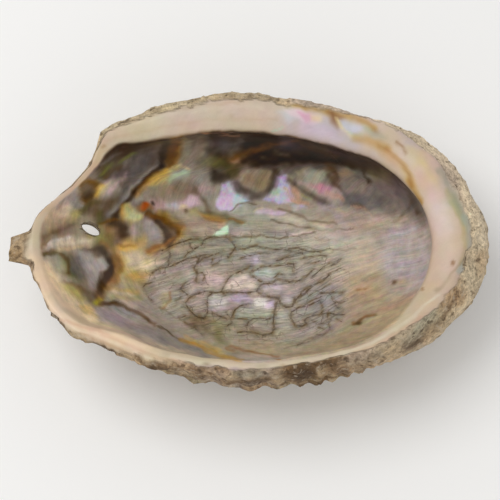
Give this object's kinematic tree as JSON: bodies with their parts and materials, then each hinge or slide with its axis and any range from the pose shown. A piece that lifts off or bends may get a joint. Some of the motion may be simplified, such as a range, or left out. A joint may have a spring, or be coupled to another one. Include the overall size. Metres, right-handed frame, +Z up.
{
  "type": "abalone shell",
  "caption": "Abalone shell lying on its back as an open bowl, with a broad columellar shelf, a siphon notch, a breathing hole and a crusted, ridged back.",
  "frame": {"origin": "under the middle of the shell's bounding box, on the surface it rests on", "axes": "+X towards the spire end, -X towards the siphon notch, +Y towards the columellar shelf, -Y towards the outer lip, +Z up out of the opening"},
  "size_m": [0.1479, 0.092, 0.044],
  "materials": {
    "shell": "pearly nacre inside, rough crust outside"
  },
  "bodies": {
    "root": {"shell": "shell"}
  },
  "joints": []
}
